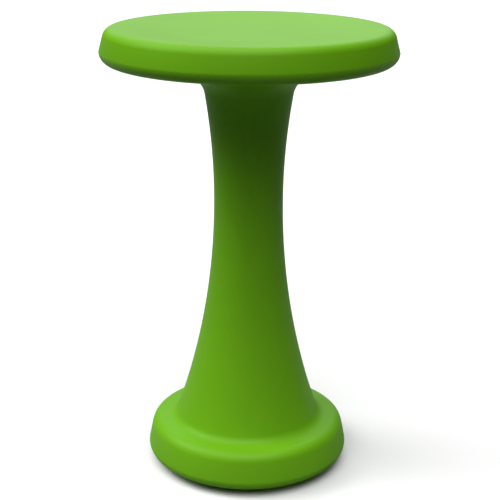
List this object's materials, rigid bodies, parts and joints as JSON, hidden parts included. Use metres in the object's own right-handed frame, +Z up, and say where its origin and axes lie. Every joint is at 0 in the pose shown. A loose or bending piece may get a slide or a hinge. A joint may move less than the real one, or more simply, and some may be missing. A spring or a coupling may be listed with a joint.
{
  "type": "wobble stool",
  "caption": "One-legged active-sitting stool: dished round seat on a waisted hollow leg, with a domed foot and a rubber sole that lets the whole stool rock.",
  "frame": {"origin": "middle of the flat under the sole, on the floor", "axes": "+Z up along the axis of the leg, -Y towards the side the picture was taken from"},
  "size_m": [0.32, 0.32, 0.5],
  "materials": {
    "lime_plastic": "satin lime green polyethylene",
    "grip_rubber": "matt black rubber",
    "zinc_steel": "zinc plated",
    "brass_insert": "plain brass"
  },
  "bodies": {
    "root": {"seat_top": "lime_plastic", "seat_pan": "lime_plastic", "leg": "lime_plastic", "rocker_base": "lime_plastic", "grip_sole": "grip_rubber", "bolt_ring": "zinc_steel", "seat_bolt_1": "zinc_steel", "seat_bolt_2": "zinc_steel", "seat_bolt_3": "zinc_steel", "seat_bolt_4": "zinc_steel", "thread_insert_1": "brass_insert", "thread_insert_2": "brass_insert", "thread_insert_3": "brass_insert", "thread_insert_4": "brass_insert", "base_screw_1": "zinc_steel", "base_screw_2": "zinc_steel", "base_screw_3": "zinc_steel", "base_screw_4": "zinc_steel", "base_screw_5": "zinc_steel", "base_screw_6": "zinc_steel"}
  },
  "joints": []
}
